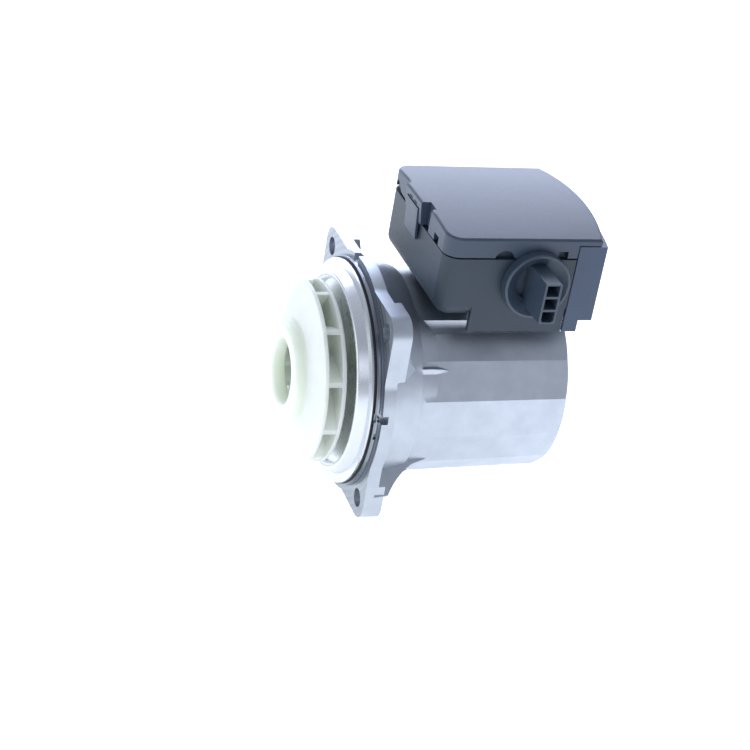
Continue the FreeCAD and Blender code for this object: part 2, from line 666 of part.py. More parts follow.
def box_lid():
    """Crowned lid with a skirt, a bowed rear edge and a block that carries the snap tongue."""
    outline = bowed_outline(
        BOX_FRONT - 0.2, LID_REAR_SIDE, LID_REAR_MID, BOX_HALF, BOX_CORNER_R, LID_BOTTOM)
    outer = under_crown(extruded(outline, V(0, 0, 20)), 0)
    outer = filleted(outer, 1.0, lambda edge: edge.BoundBox.ZMin > LID_EDGE_Z - 1.5)
    inner = bowed_outline(
        BOX_FRONT - 0.2 + BOX_WALL, LID_REAR_SIDE - BOX_WALL, LID_REAR_MID - BOX_WALL,
        BOX_HALF - BOX_WALL, BOX_CORNER_R - BOX_WALL, LID_BOTTOM)
    hollow = under_crown(extruded(inner, V(0, 0, 20)), LID_THICK)
    tongue_block = under_crown(extruded([
        V(BOX_FRONT + 2.5, BLOCK_NEAR, LID_BOTTOM), V(BLOCK_BOTTOM_X, BLOCK_NEAR, LID_BOTTOM),
        V(BLOCK_TOP_X, BLOCK_NEAR, LID_EDGE_Z + 4), V(BOX_FRONT + 2.5, BLOCK_NEAR, LID_EDGE_Z + 4),
    ], V(0, BLOCK_FAR - BLOCK_NEAR, 0)), 0)

    def top_front(edge):
        return edge.BoundBox.ZMin > LID_EDGE_Z and edge.BoundBox.XMax < BLOCK_BOTTOM_X
    tongue_block = filleted(tongue_block, 1.0, top_front)
    shell = fused([outer, tongue_block]).cut(hollow)
    # Clear of the rear cover, the skirt is only a short edge.
    over_cover = block(BOX_REAR, 90, -40, 40, LID_BOTTOM - 1, COVER_TOP + 0.3)
    pocket = block(10, BOX_FRONT + 3.2, TONGUE_NEAR - 0.35, TONGUE_FAR + 0.35, 50, TONGUE_TOP + 0.35)
    slots = []
    for y in (-0.2, 4.6):
        slots.append(block(14, 17.4, y, y + 3.0, TONGUE_TOP + 0.7, TONGUE_TOP + 1.3))
    below = LID_BOTTOM - 1
    pry_recess = block(10, BOX_FRONT + 1.5, *PRY_RECESS, below, LID_EDGE_Z + 5)
    through_wall = BOX_FRONT + 1.9
    notch_top = [V(10, y, LID_BOTTOM + height) for y, height in FAR_NOTCH]
    far_notch = extruded(
        [V(10, FAR_NOTCH[0][0], below)] + notch_top + [V(10, FAR_NOTCH[-1][0] + 0.6, below)],
        V(through_wall - 10, 0, 0))
    near_notch = block(10, through_wall, *NEAR_NOTCH, below, LID_BOTTOM + 2.9)
    side = -BOX_HALF - 1
    clip_mouth = rod(CLIP_MOUTH_R, V(CLIP_MOUTH_X, side, below), ALONG_Y, 3.4)
    clip_mouth_rear = block(*REAR_CLIP_MOUTH, side, side + 3.4, below, LID_BOTTOM + 2.55)
    mouths = [clip_mouth, clip_mouth_rear, mirrored(clip_mouth), mirrored(clip_mouth_rear)]
    shell = less(shell, [over_cover, pocket, pry_recess, far_notch, near_notch] + slots + mouths)
    hooks = []
    hook_rear = HOOK_FRONT + 1.8
    for y in HOOK_PLACES:
        hooks.append(block(HOOK_FRONT, hook_rear, y, y + HOOK_WIDTH, HOOK_BOTTOM, LID_EDGE_Z))
        hooks.append(extruded([
            V(hook_rear - 0.1, y, HOOK_BOTTOM), V(hook_rear + 2.4, y, HOOK_BOTTOM + 0.8),
            V(hook_rear + 2.4, y, HOOK_BOTTOM + 1.6), V(hook_rear - 0.1, y, HOOK_BOTTOM + 2.0),
        ], V(0, HOOK_WIDTH, 0)))
    return fused([shell] + hooks)


def lid_latch():
    """Snap tongue: hangs on two thin webs at its top and hooks behind the catch."""
    top_x = BLOCK_TOP_X + 0.35
    low_x = BLOCK_BOTTOM_X - 0.05
    side = TONGUE_NEAR
    return extruded([
        V(top_x, side, TONGUE_TOP), V(low_x - 0.1, side, TONGUE_BOTTOM + 0.6),
        V(low_x + 0.3, side, TONGUE_BOTTOM), V(low_x + 0.9, side, TONGUE_BOTTOM),
        V(low_x + 0.62, side, TONGUE_BOTTOM + 4), V(top_x + TONGUE_THICK, side, TONGUE_TOP),
    ], V(0, TONGUE_FAR - TONGUE_NEAR, 0))


def rear_cover():
    """Cover round the rear end of the box, with a bowed wall and two feet."""
    def plan(inset, z):
        return bowed_outline(
            COVER_FRONT - 2 * inset, COVER_REAR_SIDE - 1.2 * inset, COVER_REAR_MID - inset,
            COVER_HALF - inset, 0.2, z)
    outer = extruded(plan(0, COVER_BOTTOM), V(0, 0, COVER_TOP - COVER_BOTTOM))
    outer = outer.cut(extruded(plan(COVER_WALL, COVER_BOTTOM - 1), V(0, 0, 40)))
    feet = []
    for side in (-1, 1):
        inner, outer_face = sorted((side * (COVER_HALF - COVER_WALL), side * COVER_HALF))
        feet.append(block(COVER_FRONT, FOOT_REAR, inner, outer_face, FOOT_BOTTOM, COVER_BOTTOM + 1))
    ledges = []
    within = extruded(plan(0.4, 50), V(0, 0, 12))
    for place in HOOK_PLACES:
        y = place - 1
        ledges.append(block(75.8, 79.6, y, y + LEDGE_WIDTH, 58.0, 60.0).common(within))
    return fused([outer] + feet + ledges)


def mains_socket():
    """Round collar with a bowl in it, and a three-way core that stands out of the bowl."""
    def disc(radius, y_in, y_out):
        return rod(radius, V(SOCKET_X, y_out, SOCKET_Z), ALONG_Y, y_in - y_out)
    collar = disc(SOCKET_R, COLLAR_BACK, COLLAR_FACE)
    collar = filleted(collar, 0.5, lambda edge: edge.BoundBox.YMax < COLLAR_FACE + 0.1)
    plug = disc(SOCKET_PLUG_R, -27.2, COLLAR_BACK)
    bowl_slope = Part.makeCone(
        BOWL_RIM_R, BOWL_FLOOR_R, BOWL_SLOPE_END - COLLAR_FACE,
        V(SOCKET_X, COLLAR_FACE, SOCKET_Z), ALONG_Y)
    bowl = disc(BOWL_FLOOR_R, BOWL_FLOOR, BOWL_SLOPE_END)
    core = block(
        SOCKET_X - CORE_HALF_X, SOCKET_X + CORE_HALF_X, SOCKET_FACE, BOWL_FLOOR + 0.5,
        CORE_Z - CORE_HALF_Z, CORE_Z + CORE_HALF_Z)
    core = filleted(core, 0.5, lambda edge: edge.BoundBox.YLength > 5)
    # Inside the box wall the core keeps within the round plug.
    core = core.common(fused([disc(SOCKET_R, COLLAR_BACK, SOCKET_FACE - 1), plug]))
    cavities = []
    for k in (-1, 0, 1):
        z = CORE_Z + k * CAVITY_PITCH
        cavity = block(
            SOCKET_X - CAVITY_HALF_X, SOCKET_X + CAVITY_HALF_X, SOCKET_FACE - 1, CAVITY_FLOOR,
            z - CAVITY_HALF_Z, z + CAVITY_HALF_Z)
        if k == -1:
            def lower_corner(edge):
                return edge.BoundBox.YLength > 5 and edge.BoundBox.ZMax < z
            cavity = filleted(cavity, 1.2, lower_corner)
        cavities.append(cavity)
        cavities.append(block(SOCKET_X - 1.1, SOCKET_X + 1.1, CAVITY_FLOOR - 1, -26, z - 0.4, z + 0.4))
    body = less(fused([collar, plug]), [bowl_slope, bowl])
    return less(fused([body, core]), cavities)


def socket_pins():
    """Three contact blades, bent down to the board inside the box."""
    blades = []
    for k in (-1, 0, 1):
        z = CORE_Z + k * CAVITY_PITCH
        y_bend = -24.4 + 2.2 * (k + 1)
        blade = block(SOCKET_X - 1.1, SOCKET_X + 1.1, BLADE_TIP, y_bend, z - 0.4, z + 0.4)
        leg = block(SOCKET_X - 1.1, SOCKET_X + 1.1, y_bend - 0.8, y_bend, BOARD_TOP, z + 0.4)
        blades.append(fused([blade, leg]))
    return Part.makeCompound(blades)


# ---- electronics ----

def circuit_board():
    outline = plan_outline(BOARD_FRONT, BOARD_REAR, BOARD_HALF, 3.6, BOARD_Z)
    board = extruded(outline, V(0, 0, BOARD_THICK))
    holes = [rod(1.5, V(x, y, BOARD_Z - 1), ALONG_Z, 4) for x, y in BOARD_SCREWS]
    pin_holes = []
    for k in (-1, 0, 1):
        y = k * PIN_PITCH
        pin_holes.append(block(PIN_X - 0.7, PIN_X + 0.7, y - 0.7, y + 0.7, BOARD_Z - 1, BOARD_TOP + 1))
    return less(board, holes + pin_holes)


def filter_choke():
    """Ring core with two windings, standing flat on the board."""
    core = rod(7.0, V(CHOKE_X, CHOKE_Y, BOARD_TOP), ALONG_Z, CHOKE_HEIGHT)
    eye = rod(3.0, V(CHOKE_X, CHOKE_Y, BOARD_TOP - 1), ALONG_Z, CHOKE_HEIGHT + 2)
    turns = []
    for k in range(CHOKE_TURNS):
        lean = 8.0 if k < CHOKE_TURNS / 2 else -8.0
        angle = 360.0 / CHOKE_TURNS * k + lean
        x = CHOKE_X + 5.0 * math.cos(math.radians(angle))
        y = CHOKE_Y + 5.0 * math.sin(math.radians(angle))
        bar = block(-1.8, 1.8, -0.6, 0.6, -0.3, 0.7)
        bar.rotate(ORIGIN, ALONG_Z, angle)
        bar.translate(V(x, y, BOARD_TOP + CHOKE_HEIGHT))
        turns.append(bar)
    return fused([core.cut(eye)] + turns)


def bulk_capacitor():
    """Round electrolytic capacitor on end."""
    can = rod(6.3, V(BULK_X, BULK_Y, BOARD_TOP), ALONG_Z, BULK_HEIGHT)
    can = filleted(can, 0.8, lambda edge: edge.BoundBox.ZMin > BOARD_TOP + BULK_HEIGHT - 1)
    waist = Part.makeTorus(6.7, 0.9, V(BULK_X, BULK_Y, BOARD_TOP + 2.2), ALONG_Z)
    return can.cut(waist)


def moulded_block(x0, x1, y0, y1, height, corner):
    body = block(x0, x1, y0, y1, BOARD_TOP, BOARD_TOP + height)
    return filleted(body, corner, lambda edge: edge.BoundBox.ZMax > BOARD_TOP + 0.1)


def fuse():
    """Tube fuse with an end cap and a leg at each end, held just off the board."""
    axis_z = BOARD_TOP + FUSE_CAP_R + 0.5
    body = rod(FUSE_CAP_R - 0.4, V(FUSE_X + 1, FUSE_Y, axis_z), ALONG_X, 11)
    ends = []
    for x in (FUSE_X, FUSE_X + 10):
        ends.append(rod(FUSE_CAP_R, V(x, FUSE_Y, axis_z), ALONG_X, 3))
        ends.append(block(x + 1, x + 2, FUSE_Y - 0.5, FUSE_Y + 0.5, BOARD_TOP, axis_z))
    return fused([body] + ends)


def power_module():
    """Power chip under the board, pressed on to the pedestal through its pad."""
    return block(*MODULE_PLAN, MODULE_BOTTOM, BOARD_Z)


def earth_strap():
    """Bent strip that joins the board's earth to the pedestal through the floor window."""
    near = 7.2
    far = near + 1.6
    foot = block(44, 48, near, far, PEDESTAL_TOP, PEDESTAL_TOP + 0.6)
    leg = block(44, 48, far - 0.6, far, PEDESTAL_TOP, BOARD_Z)
    return fused([foot, leg])


PARTS = {
    "stator_housing": stator_housing,
    "bearing_plate": bearing_plate,
    "front_bearing": lambda: ring(BEARING_R, SHAFT_R + SHAFT_GAP, PLATE_FLOOR + SHEET, 5.4),
    "rotor_can": rotor_can,
    "rear_bearing": lambda: ring(BEARING_R, SHAFT_R + SHAFT_GAP, 58.6, 64.6),
    "can_seal": lambda: ring(8.0, 5.6, CAN_END, BORE_END),
    "casing_gasket": lambda: ring(40.9, 35.2, PLATE_RIM_REAR, SPIGOT_FRONT),
    "plate_retaining_ring": plate_retaining_ring,
    "stator_core": stator_core,
    "stator_coils": stator_coils,
    "front_winding_frame": lambda: winding_frame(STACK_FRONT, 9.0),
    "rear_winding_frame": lambda: winding_frame(STACK_REAR, 55.0),
    "winding_pins": winding_pins,
    "vent_plug": vent_plug,
    "vent_plug_seal": lambda: ring(7.6, 5.0, HOUSING_END - 2.0, HOUSING_END - 1.4),
    "impeller": impeller,
    "impeller_lock_cone": impeller_lock_cone,
    "rotor_shaft": lambda: ring(SHAFT_R, 1.5, SHAFT_FRONT, SHAFT_REAR),
    "magnet_rotor": magnet_rotor,
    "rotor_sleeve": rotor_sleeve,
    "thrust_ring": lambda: ring(8.5, SHAFT_R, 5.5, 8.2),
    "thrust_ring_seat": lambda: ring(7.8, SHAFT_R, 8.2, 13.4),
    "control_box_base": control_box_base,
    "box_seal": box_seal,
    "box_screws": lambda: screws(BOX_SCREWS, FLOOR_Z + FLOOR_THICK, 9.0, 1.6, 3.2, 2.0),
    "circuit_board": circuit_board,
    "board_screws": lambda: screws(BOARD_SCREWS, BOARD_TOP, 4.5, 1.2, 2.6, 1.6),
    "filter_choke": filter_choke,
    "bulk_capacitor": bulk_capacitor,
    "film_capacitor": lambda: moulded_block(42, 57, 6.5, 13.5, 12.0, 0.8),
    "transformer": lambda: moulded_block(40, 54, -15.5, -6.5, 10.0, 1.0),
    "fuse": fuse,
    "power_module": power_module,
    "thermal_pad": lambda: block(*MODULE_PLAN, PEDESTAL_TOP, MODULE_BOTTOM),
    "earth_strap": earth_strap,
    "mains_socket": mains_socket,
    "socket_pins": socket_pins,
    "rear_cover": rear_cover,
    "box_lid": box_lid,
    "lid_latch": lid_latch,
}

os.makedirs("parts", exist_ok=True)
for name, make in PARTS.items():
    save(name, make())
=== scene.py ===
# %% [markdown]
# # The motor head of a circulator pump
#
# The head has a die-cast aluminium housing with a four-lug flange, a stainless bearing plate, a
# moulded impeller and a slate-coloured control box with a round mains inlet. The design is
# already fixed: its sizes, places and joints come in as CAD nodes. This lesson gives each piece
# its real finish, softens the edges that a mould or a die would leave soft, and adds the small
# pieces that are too fine for the design model.

# %% Load the frame
import json
import math

import bpy
from mathutils import Matrix, Vector


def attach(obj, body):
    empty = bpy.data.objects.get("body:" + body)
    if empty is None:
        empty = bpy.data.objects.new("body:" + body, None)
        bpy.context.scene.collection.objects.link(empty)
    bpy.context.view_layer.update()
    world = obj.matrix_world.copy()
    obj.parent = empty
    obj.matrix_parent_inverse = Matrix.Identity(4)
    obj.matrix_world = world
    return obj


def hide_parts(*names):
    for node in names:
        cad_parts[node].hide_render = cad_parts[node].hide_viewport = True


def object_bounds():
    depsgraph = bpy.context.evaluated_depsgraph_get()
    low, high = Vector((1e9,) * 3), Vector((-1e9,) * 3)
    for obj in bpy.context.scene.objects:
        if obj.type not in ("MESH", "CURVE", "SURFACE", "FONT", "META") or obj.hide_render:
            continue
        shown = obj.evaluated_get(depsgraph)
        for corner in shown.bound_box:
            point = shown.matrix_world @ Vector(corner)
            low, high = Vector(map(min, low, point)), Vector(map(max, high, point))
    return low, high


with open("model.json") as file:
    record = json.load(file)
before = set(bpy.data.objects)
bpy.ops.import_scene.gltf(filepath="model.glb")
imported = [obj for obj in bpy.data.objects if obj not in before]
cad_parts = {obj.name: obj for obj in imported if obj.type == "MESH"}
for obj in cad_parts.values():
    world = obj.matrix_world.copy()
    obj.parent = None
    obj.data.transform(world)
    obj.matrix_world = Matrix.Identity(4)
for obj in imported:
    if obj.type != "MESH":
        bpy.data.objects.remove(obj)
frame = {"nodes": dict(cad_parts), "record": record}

design_low, design_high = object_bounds()
print("size in mm:", [round(1000 * side, 1) for side in design_high - design_low])

# %% [markdown]
# ## Colour and units
#
# Blender's shaders work in linear light, while a colour that is given here is an sRGB value.
# One function turns a hex value into linear light. Sizes of pieces and patterns are given in
# millimetres, because that is how a part like this is drawn, and are scaled to metres once.

# %% Units and colours
MM = 0.001


def linear(hex_colour):
    """An sRGB colour such as "c8ccd0" as linear red, green, blue and an alpha of 1."""
    channels = [int(hex_colour[k:k + 2], 16) / 255 for k in (0, 2, 4)]
    bent = [c / 12.92 if c <= 0.04045 else ((c + 0.055) / 1.055) ** 2.4 for c in channels]
    return (*bent, 1.0)


print("mid grey in linear light:", [round(c, 3) for c in linear("808080")])

# %% [markdown]
# ## One function that adds a shader node
#
# A material is a small graph. Every node in it is added in the same way: its kind, the settings
# it needs, and the links that come into it. A setting is either a property of the node or the
# value of one of its sockets, so the function tries the property first.

# %% Add a node
def add(tree, kind, settings=None, links=None):
    """Adds one node. links maps an input socket to a (node, output socket) pair."""
    node = tree.nodes.new(kind)
    for key, value in (settings or {}).items():
        if isinstance(key, str) and hasattr(node, key):
            setattr(node, key, value)
        else:
            node.inputs[key].default_value = value
    for key, (source, output) in (links or {}).items():
        tree.links.new(source.outputs[output], node.inputs[key])
    return node


# %% [markdown]
# ## The room
#
# The part lies in a light tent: a pale table that glows under it, a wide soft light low behind it,
# a weaker one on the impeller's side, and a dim side from which it is looked at. The low light
# behind skims over the lid, so the lid's far edge is bright and its near edge is not. The table
# lights the lower faces of the casting, and the dim side leaves the box's near wall dark.

# %% Floor
def make_floor():
    lowest = design_low.z
    bpy.ops.object.select_all(action="DESELECT")
    bpy.ops.mesh.primitive_plane_add(size=30, location=(0, 0, lowest - 0.0002))
    floor = bpy.context.object
    floor.name = "pale_floor"
    paint = bpy.data.materials.new("matt_white_light_table")
    paint.use_nodes = True
    shader = paint.node_tree.nodes["Principled BSDF"]
    shader.inputs["Base Color"].default_value = linear("f4f6f8")
    shader.inputs["Roughness"].default_value = 0.9
    shader.inputs["Emission Color"].default_value = linear("f6faff")
    shader.inputs["Emission Strength"].default_value = FLOOR_GLOW
    floor.data.materials.append(paint)
    return floor


FLOOR_GLOW = 0.86
print("floor:", make_floor().name)


# %% Lights
def make_softbox(name, place, size, watts, tint, aim=(0.03, 0.0, 0.01)):
    """A large square area light that looks at the middle of the part."""
    lamp = bpy.data.lights.new(name, "AREA")
    lamp.shape = "SQUARE"
    lamp.size = size
    lamp.energy = watts
    lamp.color = linear(tint)[:3]
    box = bpy.data.objects.new(name, lamp)
    box.location = place
    box.rotation_euler = (Vector(aim) - Vector(place)).to_track_quat("-Z", "Y").to_euler()
    bpy.context.scene.collection.objects.link(box)
    return box


make_softbox("softbox_behind", (0.22, 0.92, 0.40), 0.9, 8.4, "dbe5ff")
make_softbox("softbox_impeller_side", (-0.80, -0.10, 0.25), 0.6, 0.9, "f6fff8")
make_softbox("softbox_near", (-0.25, -0.85, 0.55), 0.4, 0.5, "eef3ff")


# %% Surroundings
TENT_DIM = 0.50
TENT_BRIGHT = 1.0


def make_surroundings():
    """A soft white tent, brighter behind and below the part, and dimmer above its near side."""
    world = bpy.data.worlds.new("light_tent")
    world.use_nodes = True
    tree = world.node_tree
    tree.nodes.clear()
    direction = add(tree, "ShaderNodeTexCoord")
    towards_bright = Vector((-0.10, 0.75, -0.55)).normalized()
    facing = add(tree, "ShaderNodeVectorMath", {"operation": "DOT_PRODUCT", 1: towards_bright},
                 {0: (direction, "Generated")})
    ramp = add(tree, "ShaderNodeMapRange", {1: -1.0, 2: 1.0, 3: TENT_DIM, 4: TENT_BRIGHT},
               {0: (facing, "Value")})
    glow = add(tree, "ShaderNodeBackground", {"Color": linear("e9f0ff")},
               {"Strength": (ramp, "Result")})
    add(tree, "ShaderNodeOutputWorld", None, {"Surface": (glow, "Background")})
    bpy.context.scene.world = world


make_surroundings()
bpy.context.scene.view_settings.view_transform = "Standard"

# %% [markdown]
# ## The camera
#
# A camera is placed by what a person would say about it: how far round the part it stands, how
# far above it, how far away, and how far it leans. Its three axes follow from those, and they are
# the columns of its rotation.

# %% Camera
CAMERA_ROUND = math.radians(22.22)     # from -Y towards -X
CAMERA_ABOVE = math.radians(28.37)
CAMERA_LEAN = math.radians(10.11)
CAMERA_DISTANCE = 0.70646
CAMERA_ASIDE = 0.01104
CAMERA_DOWN = -0.00191
CAMERA_LENS = 94.02


def make_camera():
    level = math.cos(CAMERA_ABOVE)
    back = Vector((
        -math.sin(CAMERA_ROUND) * level, -math.cos(CAMERA_ROUND) * level, math.sin(CAMERA_ABOVE)))
    right = (-back).cross(Vector((0, 0, 1))).normalized()
    up = right.cross(-back)
    leaning_right = right * math.cos(CAMERA_LEAN) + up * math.sin(CAMERA_LEAN)
    leaning_up = up * math.cos(CAMERA_LEAN) - right * math.sin(CAMERA_LEAN)
    camera = bpy.data.objects.new("camera", bpy.data.cameras.new("camera"))
    bpy.context.scene.collection.objects.link(camera)
    turn = Matrix((leaning_right, leaning_up, back)).transposed()
    place = back * CAMERA_DISTANCE + leaning_right * CAMERA_ASIDE + leaning_up * CAMERA_DOWN
    camera.matrix_world = Matrix.Translation(place) @ turn.to_4x4()
    camera.data.lens = CAMERA_LENS
    camera.data.clip_start = 0.01
    bpy.context.scene.camera = camera
    return camera


print("camera at", [round(c, 3) for c in make_camera().matrix_world.translation])

# %% [markdown]
# ## Where a material starts
#
# Each material below has a start in common: a Principled shader with its constant values set
# straight on its sockets, and the Object coordinates that its patterns read. A pattern's scale is
# the number of its features in a metre, so a helper works it out from a size in millimetres.

# %% Start of a material
def start_material(name, colour, metallic, roughness, **sockets):
    """A new material, its tree, its shader and its coordinates."""
    material = bpy.data.materials.new(name)
    material.use_nodes = True
    tree = material.node_tree
    shader = tree.nodes["Principled BSDF"]
    shader.inputs["Base Color"].default_value = linear(colour)
    shader.inputs["Metallic"].default_value = metallic
    shader.inputs["Roughness"].default_value = roughness
    for socket, value in sockets.items():
        shader.inputs[socket.replace("_", " ")].default_value = value
    return material, tree, shader, add(tree, "ShaderNodeTexCoord")


def per_metre(millimetres):
    """How many features of this size fit in a metre, which is what a texture's scale means."""
    return 1.0 / (millimetres * MM)


def noise(tree, coords, size_mm, detail=3.0, rough=0.5):
    settings = {"Scale": per_metre(size_mm), "Detail": detail, "Roughness": rough}
    return add(tree, "ShaderNodeTexNoise", settings, {"Vector": (coords, "Object")})


def vary_colour(tree, shader, source, dark, light, low=0.3, high=0.7):
    """The base colour runs from dark to light as the pattern rises."""
    ramp = add(tree, "ShaderNodeValToRGB", None, {"Fac": source})
    ramp.color_ramp.elements[0].position = low
    ramp.color_ramp.elements[0].color = linear(dark)
    ramp.color_ramp.elements[1].position = high
    ramp.color_ramp.elements[1].color = linear(light)
    tree.links.new(ramp.outputs["Color"], shader.inputs["Base Color"])


def vary_roughness(tree, shader, source, low, high):
    spread = add(tree, "ShaderNodeMapRange", {1: 0.3, 2: 0.7, 3: low, 4: high}, {0: source})
    tree.links.new(spread.outputs["Result"], shader.inputs["Roughness"])


def raise_surface(tree, shader, source, height_mm, strength=1.0):
    """Adds a bump of this height, on top of one that is there already."""
    bump = add(tree, "ShaderNodeBump", {"Distance": height_mm * MM, "Strength": strength},
               {"Height": source})
    if shader.inputs["Normal"].links:
        below = shader.inputs["Normal"].links[0].from_socket
        tree.links.new(below, bump.inputs["Normal"])
    tree.links.new(bump.outputs["Normal"], shader.inputs["Normal"])


print("a 0.5 mm pattern has scale", per_metre(0.5))

# %% [markdown]
# ## Die-cast aluminium
#
# The housing is pressure die-cast and then shot-blasted, which leaves it matt, with a fine sandy
# grain and very faint clouds where the metal cooled at different speeds. The grain is really about
# 0.15 mm, too fine to show, so it is drawn at 0.45 mm. Where the flange seats on the pump, the
# casting is turned on a lathe, so those faces get a second finish with fine rings.

# %% Die-cast and turned aluminium
def make_diecast_aluminium():
    material, tree, shader, coords = start_material("diecast_aluminium_blasted", "cbd0d7", 1.0, 0.4)
    clouds = noise(tree, coords, 9.0, 4.0, 0.6)
    vary_colour(tree, shader, (clouds, "Fac"), "b5bbc4", "bfc5cd", 0.35, 0.65)
    grain = noise(tree, coords, 0.45, 2.0)
    vary_roughness(tree, shader, (grain, "Fac"), 0.36, 0.46)
    raise_surface(tree, shader, (grain, "Fac"), 0.012)
    return material


def lathe_rings(tree, coords, pitch_mm):
    """Rings about the shaft, as a lathe tool leaves them."""
    settings = {"wave_type": "RINGS", "rings_direction": "X", "Scale": per_metre(pitch_mm) / 20,
                "Distortion": 0.4, "Detail": 1.0}
    return add(tree, "ShaderNodeTexWave", settings, {"Vector": (coords, "Object")})


def make_turned_aluminium():
    material, tree, shader, coords = start_material("turned_aluminium", "949aa2", 1.0, 0.3)
    rings = lathe_rings(tree, coords, 0.4)
    vary_roughness(tree, shader, (rings, "Fac"), 0.22, 0.34)
    raise_surface(tree, shader, (rings, "Fac"), 0.006)
    return material


diecast_aluminium = make_diecast_aluminium()
turned_aluminium = make_turned_aluminium()
print(diecast_aluminium.name, turned_aluminium.name)

# %% [markdown]
# ## Sheet, wire and plated metals
#
# The bearing plate, the can and the rotor's sheath are deep-drawn from bright stainless sheet.
# Drawing leaves them smooth, with faint rings from the tool. The small metal pieces share one
# function, because they differ only in colour and in how bright the plating is.

# %% Stainless, plated and sintered metals
def make_drawn_stainless():
    material, tree, shader, coords = start_material("deep_drawn_stainless", "d6d9dd", 1.0, 0.28)
    rings = lathe_rings(tree, coords, 0.9)
    raise_surface(tree, shader, (rings, "Fac"), 0.004)
    haze = noise(tree, coords, 9.0, 3.0)
    vary_roughness(tree, shader, (haze, "Fac"), 0.24, 0.33)
    return material


def make_plain_metal(name, colour, roughness, grain_mm, height_mm):
    """A small metal piece with a fine grain in its gloss and its surface."""
    material, tree, shader, coords = start_material(name, colour, 1.0, roughness)
    grain = noise(tree, coords, grain_mm, 3.0)
    vary_roughness(tree, shader, (grain, "Fac"), 0.8 * roughness, 1.25 * roughness)
    raise_surface(tree, shader, (grain, "Fac"), height_mm)
    return material


def make_laminations():
    """Silicon steel sheets 0.5 mm thick, whose edges show as fine lines across the stack."""
    material, tree, shader, coords = start_material("stacked_silicon_steel", "6d7178", 1.0, 0.45)
    sheets = add(tree, "ShaderNodeTexWave", {"bands_direction": "X", "Scale": per_metre(0.5) / 20},
                 {"Vector": (coords, "Object")})
    vary_colour(tree, shader, (sheets, "Fac"), "4a4d52", "858a91")
    raise_surface(tree, shader, (sheets, "Fac"), 0.03)
    return material


def make_copper_winding():
    """Round enamelled wire, 0.4 mm thick, laid in even turns."""
    material, tree, shader, coords = start_material(
        "enamelled_copper_wire", "b4632e", 0.9, 0.28, Coat_Weight=0.6, Coat_Roughness=0.12)
    turns = add(tree, "ShaderNodeTexWave",
                {"bands_direction": "DIAGONAL", "Scale": per_metre(0.7) / 20},
                {"Vector": (coords, "Object")})
    vary_colour(tree, shader, (turns, "Fac"), "6e3014", "c87a40")
    raise_surface(tree, shader, (turns, "Fac"), 0.12)
    return material


drawn_stainless = make_drawn_stainless()
spring_steel = make_plain_metal("oiled_spring_steel_wire", "9a9fa6", 0.2, 0.6, 0.002)
zinc_plate = make_plain_metal("zinc_plated_steel", "c3c8cf", 0.24, 0.8, 0.004)
tin_plate = make_plain_metal("tin_plated_copper", "cfd2d4", 0.3, 0.7, 0.004)
turned_brass = make_plain_metal("turned_brass", "c9a55a", 0.22, 0.5, 0.005)
sintered_ferrite = make_plain_metal("sintered_ferrite", "35363a", 0.6, 0.5, 0.02)
laminations = make_laminations()
copper_winding = make_copper_winding()
print("metals:", len(bpy.data.materials) - 1)

# %% [markdown]
# ## Moulded plastics
#
# The box is moulded in glass-filled PBT in a slate colour. Its mould is spark-eroded, so the
# surface has a fine even grain, drawn at 0.35 mm, that spreads a light into a soft sheen. The
# impeller is a natural, uncoloured plastic: light goes a few millimetres into it, so its thin
# edges glow. The lid and the tray come out of different moulds, and their sheen differs a little;
# the tray is also coloured darker than the lid, as painted shade for the box's dim near wall.

# %% Plastics
def make_moulded_plastic(name, colour, light, roughness, grain_mm=0.35, height_mm=0.012, **sockets):
    """Opaque moulded plastic with a fine grain and a slow drift of colour."""
    material, tree, shader, coords = start_material(
        name, colour, 0.0, roughness, IOR=1.53, **sockets)
    drift = noise(tree, coords, 16.0, 2.0)
    vary_colour(tree, shader, (drift, "Fac"), colour, light, 0.25, 0.75)
    grain = noise(tree, coords, grain_mm, 2.0)
    vary_roughness(tree, shader, (grain, "Fac"), roughness - 0.05, roughness + 0.06)
    raise_surface(tree, shader, (grain, "Fac"), height_mm)
    return material


def make_impeller_plastic():
    material, tree, shader, coords = start_material(
        "natural_moulded_polypropylene", "f0f5ec", 0.0, 0.42, IOR=1.49,
        Subsurface_Weight=0.8, Subsurface_Radius=(1.0, 1.05, 0.85), Subsurface_Scale=0.006)
    flow = noise(tree, coords, 11.0, 3.0)
    vary_colour(tree, shader, (flow, "Fac"), "e6eedd", "f0f5e9")
    skin = noise(tree, coords, 0.8, 2.0)
    vary_roughness(tree, shader, (skin, "Fac"), 0.38, 0.48)
    raise_surface(tree, shader, (skin, "Fac"), 0.01)
    return material


lid_plastic = make_moulded_plastic("slate_pbt_fine_grain", "344254", "394759", 0.38)
# The tray's darker slate is painted shade for the box's dim near wall, not a colour of its own.
tray_plastic_with_painted_shade = make_moulded_plastic("slate_pbt_grained", "22313e", "273643", 0.46)
cover_plastic = make_moulded_plastic("blue_slate_pbt_grained", "3a4960", "3f4e65", 0.44)
socket_plastic = make_moulded_plastic("slate_pa66_smooth", "364352", "3b4857", 0.34, 0.5, 0.006)
frame_plastic = make_moulded_plastic("natural_pbt", "dedbcf", "e6e3d8", 0.5)
chip_epoxy = make_moulded_plastic("black_chip_epoxy", "1d1e20", "232426", 0.5, 0.3, 0.01)
carbon = make_moulded_plastic("pressed_carbon_graphite", "24252a", "2c2d32", 0.42, 0.4, 0.008)
impeller_plastic = make_impeller_plastic()
print("plastics:", lid_plastic.name, impeller_plastic.name)
